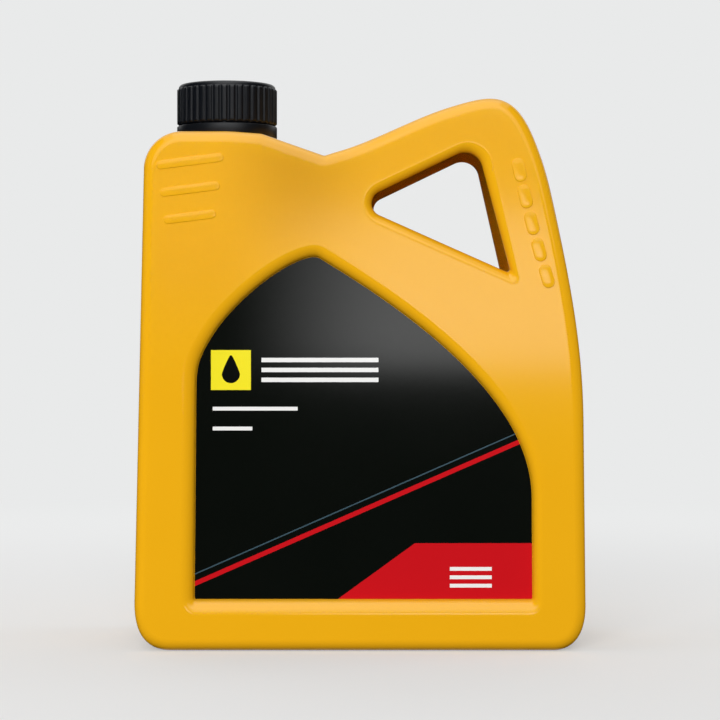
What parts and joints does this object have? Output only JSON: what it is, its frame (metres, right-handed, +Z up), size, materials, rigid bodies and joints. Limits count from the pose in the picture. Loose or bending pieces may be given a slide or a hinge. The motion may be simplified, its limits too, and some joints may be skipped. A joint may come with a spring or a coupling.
{
  "type": "motor oil bottle",
  "caption": "Blow-moulded plastic oil bottle with a triangular through handle, sunk label panels, ribbed screw cap and tamper band.",
  "frame": {"origin": "middle of the base, on the surface that the bottle stands on", "axes": "+Z up, -Y out of the labelled front, +X towards the handle side, with the neck on the -X side"},
  "size_m": [0.2044, 0.1052, 0.2614],
  "materials": {
    "bottle_plastic": "satin yellow, fine moulded texture",
    "cap_plastic": "satin black",
    "liner_foam": "matt foam",
    "seal_foil": "bright foil",
    "label_film": "satin printed film, black with red, yellow and white fields"
  },
  "bodies": {
    "bottle_body": {"bottle": "bottle_plastic", "tamper_band": "cap_plastic", "foil_seal": "seal_foil", "front_label": "label_film"},
    "liner_body": {"cap_liner": "liner_foam"},
    "cap_body": {"screw_cap": "cap_plastic"}
  },
  "joints": [
    {"name": "cap_lift", "type": "slide", "parent": "bottle_body", "child": "liner_body", "axis": [0, 0, 1], "range_m": [0, 0.0235]},
    {"name": "cap_turn", "type": "hinge", "parent": "liner_body", "child": "cap_body", "pos_m": [-0.0629, 0, 0.2585], "axis": [0, 0, 1], "range_deg": [0, 1058]}
  ],
  "couplings": [
    {"joint": "cap_turn", "follows": "cap_lift", "rad_per_m": 785.4}
  ]
}
